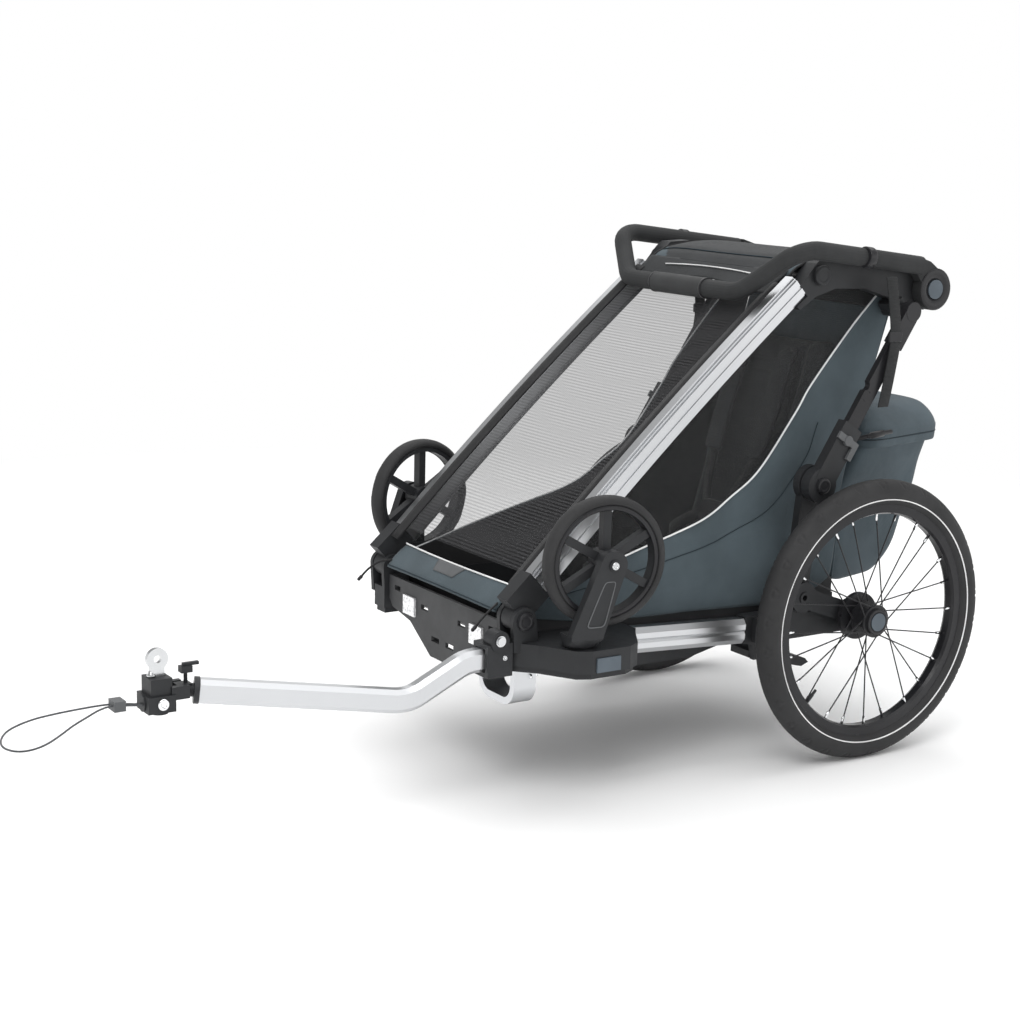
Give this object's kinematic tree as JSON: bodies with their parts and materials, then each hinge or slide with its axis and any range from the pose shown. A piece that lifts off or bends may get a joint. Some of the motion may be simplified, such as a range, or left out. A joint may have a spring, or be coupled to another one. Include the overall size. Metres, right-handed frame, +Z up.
{
  "type": "child bicycle trailer",
  "caption": "Enclosed child trailer towed by a bicycle, with a folding bar frame, spoked wheels on trailing arms, a stowed pair of stroller wheels, a push handle and a side tow arm.",
  "frame": {"origin": "On the ground, under the middle of the trailer's length and width, with the free safety cord left out", "axes": "+X is the trailer's own left, +Y runs from the tow coupling to the cargo bag, and +Z is up"},
  "size_m": [0.6776, 1.7935, 0.9079],
  "materials": {
    "anodised_aluminium": "satin anodised",
    "chassis_plastic": "fine moulded texture",
    "shell_plastic": "fine moulded texture",
    "bright_steel": "zinc plated",
    "reflector": "prismatic clear",
    "tyre_rubber": "matte",
    "black_alloy": "gloss black",
    "spoke_steel": "black with plain steel nipples",
    "hub_plastic": "semi-gloss",
    "grey_button": "matte",
    "foam": "foam",
    "shell_fabric": "plain weave, coated",
    "mesh_fabric": "fine see-through mesh",
    "roof_fabric": "plain weave, coated",
    "seat_fabric": "padded",
    "webbing": "woven webbing",
    "bag_fabric": "plain weave, coated",
    "rail_plastic": "matte grey",
    "cord": "braided"
  },
  "bodies": {
    "chassis": {"side_rails": "anodised_aluminium", "rail_couplers": "chassis_plastic", "front_brackets": "chassis_plastic", "front_hoop": "anodised_aluminium", "front_shell": "shell_plastic", "front_reflectors": "reflector", "floor_tub": "chassis_plastic", "axle_beam": "black_alloy", "knuckle_brackets": "chassis_plastic", "hitch_receiver": "chassis_plastic", "hitch_arm": "anodised_aluminium", "seat_base": "seat_fabric", "seat_back": "seat_fabric", "harness": "webbing", "side_panels": "shell_fabric", "rear_panel": "shell_fabric", "cargo_bag": "bag_fabric"},
    "upper_frame": {"uprights": "anodised_aluminium", "upright_feet": "chassis_plastic", "top_arms": "chassis_plastic", "top_crossbars": "black_alloy", "front_cover": "mesh_fabric", "front_strip": "shell_fabric", "canopy": "roof_fabric", "straps": "webbing"},
    "rear_posts": {"rear_posts": "chassis_plastic"},
    "post_rails": {"post_rails": "rail_plastic"},
    "fold_latches": {"fold_latches": "rail_plastic"},
    "handlebar": {"handlebar": "foam", "handlebar_grip": "foam"},
    "brake_pedal": {"brake_pedal": "chassis_plastic"},
    "hitch_release": {"hitch_release_button": "bright_steel"},
    "hitch_neck": {"hitch_neck": "chassis_plastic"},
    "hitch_head": {"hitch_head": "chassis_plastic", "axle_bracket": "bright_steel", "cord_lock": "grey_button", "safety_cord": "cord"},
    "hitch_pin": {"hitch_pin": "chassis_plastic"},
    "handlebar_button_left": {"handlebar_button_left": "grey_button"},
    "suspension_left": {"suspension_arm_left": "chassis_plastic"},
    "wheel_left": {"tyre_left": "tyre_rubber", "rim_left": "black_alloy", "spokes_left": "spoke_steel", "hub_left": "hub_plastic"},
    "hub_button_left": {"hub_button_left": "grey_button"},
    "stroller_mount_left": {"stroller_arm_left": "chassis_plastic"},
    "stroller_wheel_left": {"stroller_wheel_left": "chassis_plastic", "stroller_tyre_left": "tyre_rubber"},
    "stroller_button_left": {"stroller_button_left": "grey_button"},
    "handlebar_button_right": {"handlebar_button_right": "grey_button"},
    "suspension_right": {"suspension_arm_right": "chassis_plastic"},
    "wheel_right": {"tyre_right": "tyre_rubber", "rim_right": "black_alloy", "spokes_right": "spoke_steel", "hub_right": "hub_plastic"},
    "hub_button_right": {"hub_button_right": "grey_button"},
    "stroller_mount_right": {"stroller_arm_right": "chassis_plastic"},
    "stroller_wheel_right": {"stroller_wheel_right": "chassis_plastic", "stroller_tyre_right": "tyre_rubber"},
    "stroller_button_right": {"stroller_button_right": "grey_button"}
  },
  "joints": [
    {"name": "frame_fold", "type": "hinge", "parent": "chassis", "child": "upper_frame", "pos_m": [0, -0.193, 0.312], "axis": [-1, 0, 0], "range_deg": [0, 34], "deforming": ["side_panels", "rear_panel", "seat_back", "harness", "cargo_bag", "straps"]},
    {"name": "post_swing", "type": "hinge", "parent": "chassis", "child": "rear_posts", "pos_m": [0, 0.391, 0.49], "axis": [-1, 0, 0], "range_deg": [0, 91.6]},
    {"name": "post_slide", "type": "slide", "parent": "rear_posts", "child": "post_rails", "axis": [0, 0.5441, 0.839], "range_m": [0, 0.0405]},
    {"name": "fold_latch", "type": "hinge", "parent": "rear_posts", "child": "fold_latches", "pos_m": [0, 0.44, 0.5655], "axis": [1, 0, 0], "range_deg": [0, 30]},
    {"name": "handlebar_turn", "type": "hinge", "parent": "upper_frame", "child": "handlebar", "pos_m": [0, 0.648, 0.819], "axis": [-1, 0, 0], "range_deg": [0, 165]},
    {"name": "brake_press", "type": "hinge", "parent": "chassis", "child": "brake_pedal", "pos_m": [0.195, 0.304, 0.196], "axis": [-1, 0, 0], "range_deg": [-10, 10]},
    {"name": "hitch_release_press", "type": "slide", "parent": "chassis", "child": "hitch_release", "axis": [-1, 0, 0], "range_m": [0, 0.004], "stiffness_N_per_m": 400, "springref_m": -0.001},
    {"name": "hitch_roll", "type": "hinge", "parent": "chassis", "child": "hitch_neck", "pos_m": [0.107, -0.694, 0.234], "axis": [-0.3411, -0.9352, 0.095], "range_deg": [-90, 90]},
    {"name": "hitch_pitch", "type": "hinge", "parent": "hitch_neck", "child": "hitch_head", "pos_m": [0.099, -0.723, 0.238], "axis": [1, 0, 0], "range_deg": [-15, 15]},
    {"name": "hitch_pin_lift", "type": "slide", "parent": "hitch_neck", "child": "hitch_pin", "axis": [0, 0, 1], "range_m": [0, 0.03]},
    {"name": "handlebar_button_left_press", "type": "slide", "parent": "handlebar", "child": "handlebar_button_left", "axis": [-1, 0, 0], "range_m": [0, 0.004], "stiffness_N_per_m": 400, "springref_m": -0.001},
    {"name": "suspension_left_travel", "type": "hinge", "parent": "chassis", "child": "suspension_left", "pos_m": [0.256, 0.37, 0.292], "axis": [1, 0, 0], "range_deg": [0, 8], "stiffness_Nm_per_rad": 250, "springref_deg": -4.58},
    {"name": "wheel_left_spin", "type": "hinge", "parent": "suspension_left", "child": "wheel_left", "pos_m": [0.308, 0.484, 0.25], "axis": [1, 0, 0], "continuous": true},
    {"name": "hub_button_left_press", "type": "slide", "parent": "wheel_left", "child": "hub_button_left", "axis": [-1, 0, 0], "range_m": [0, 0.004], "stiffness_N_per_m": 400, "springref_m": -0.001},
    {"name": "stroller_mount_left_lift", "type": "slide", "parent": "chassis", "child": "stroller_mount_left", "axis": [0, 0, 1], "range_m": [0, 0.045]},
    {"name": "stroller_wheel_left_spin", "type": "hinge", "parent": "stroller_mount_left", "child": "stroller_wheel_left", "pos_m": [0.297, -0.083, 0.412], "axis": [0.9882, -0.153, 0], "continuous": true},
    {"name": "stroller_button_left_press", "type": "slide", "parent": "chassis", "child": "stroller_button_left", "axis": [-1, 0, 0], "range_m": [0, 0.004], "stiffness_N_per_m": 400, "springref_m": -0.001},
    {"name": "handlebar_button_right_press", "type": "slide", "parent": "handlebar", "child": "handlebar_button_right", "axis": [1, 0, 0], "range_m": [0, 0.004], "stiffness_N_per_m": 400, "springref_m": -0.001},
    {"name": "suspension_right_travel", "type": "hinge", "parent": "chassis", "child": "suspension_right", "pos_m": [-0.256, 0.37, 0.292], "axis": [1, 0, 0], "range_deg": [0, 8], "stiffness_Nm_per_rad": 250, "springref_deg": -4.58},
    {"name": "wheel_right_spin", "type": "hinge", "parent": "suspension_right", "child": "wheel_right", "pos_m": [-0.308, 0.484, 0.25], "axis": [1, 0, 0], "continuous": true},
    {"name": "hub_button_right_press", "type": "slide", "parent": "wheel_right", "child": "hub_button_right", "axis": [1, 0, 0], "range_m": [0, 0.004], "stiffness_N_per_m": 400, "springref_m": -0.001},
    {"name": "stroller_mount_right_lift", "type": "slide", "parent": "chassis", "child": "stroller_mount_right", "axis": [0, 0, 1], "range_m": [0, 0.045]},
    {"name": "stroller_wheel_right_spin", "type": "hinge", "parent": "stroller_mount_right", "child": "stroller_wheel_right", "pos_m": [-0.297, -0.083, 0.412], "axis": [0.9882, 0.153, 0], "continuous": true},
    {"name": "stroller_button_right_press", "type": "slide", "parent": "chassis", "child": "stroller_button_right", "axis": [1, 0, 0], "range_m": [0, 0.004], "stiffness_N_per_m": 400, "springref_m": -0.001}
  ],
  "couplings": [
    {"joint": "post_swing", "follows": "frame_fold", "ratio": 2.6915},
    {"joint": "post_slide", "follows": "frame_fold", "m_per_rad": 0.0677}
  ]
}
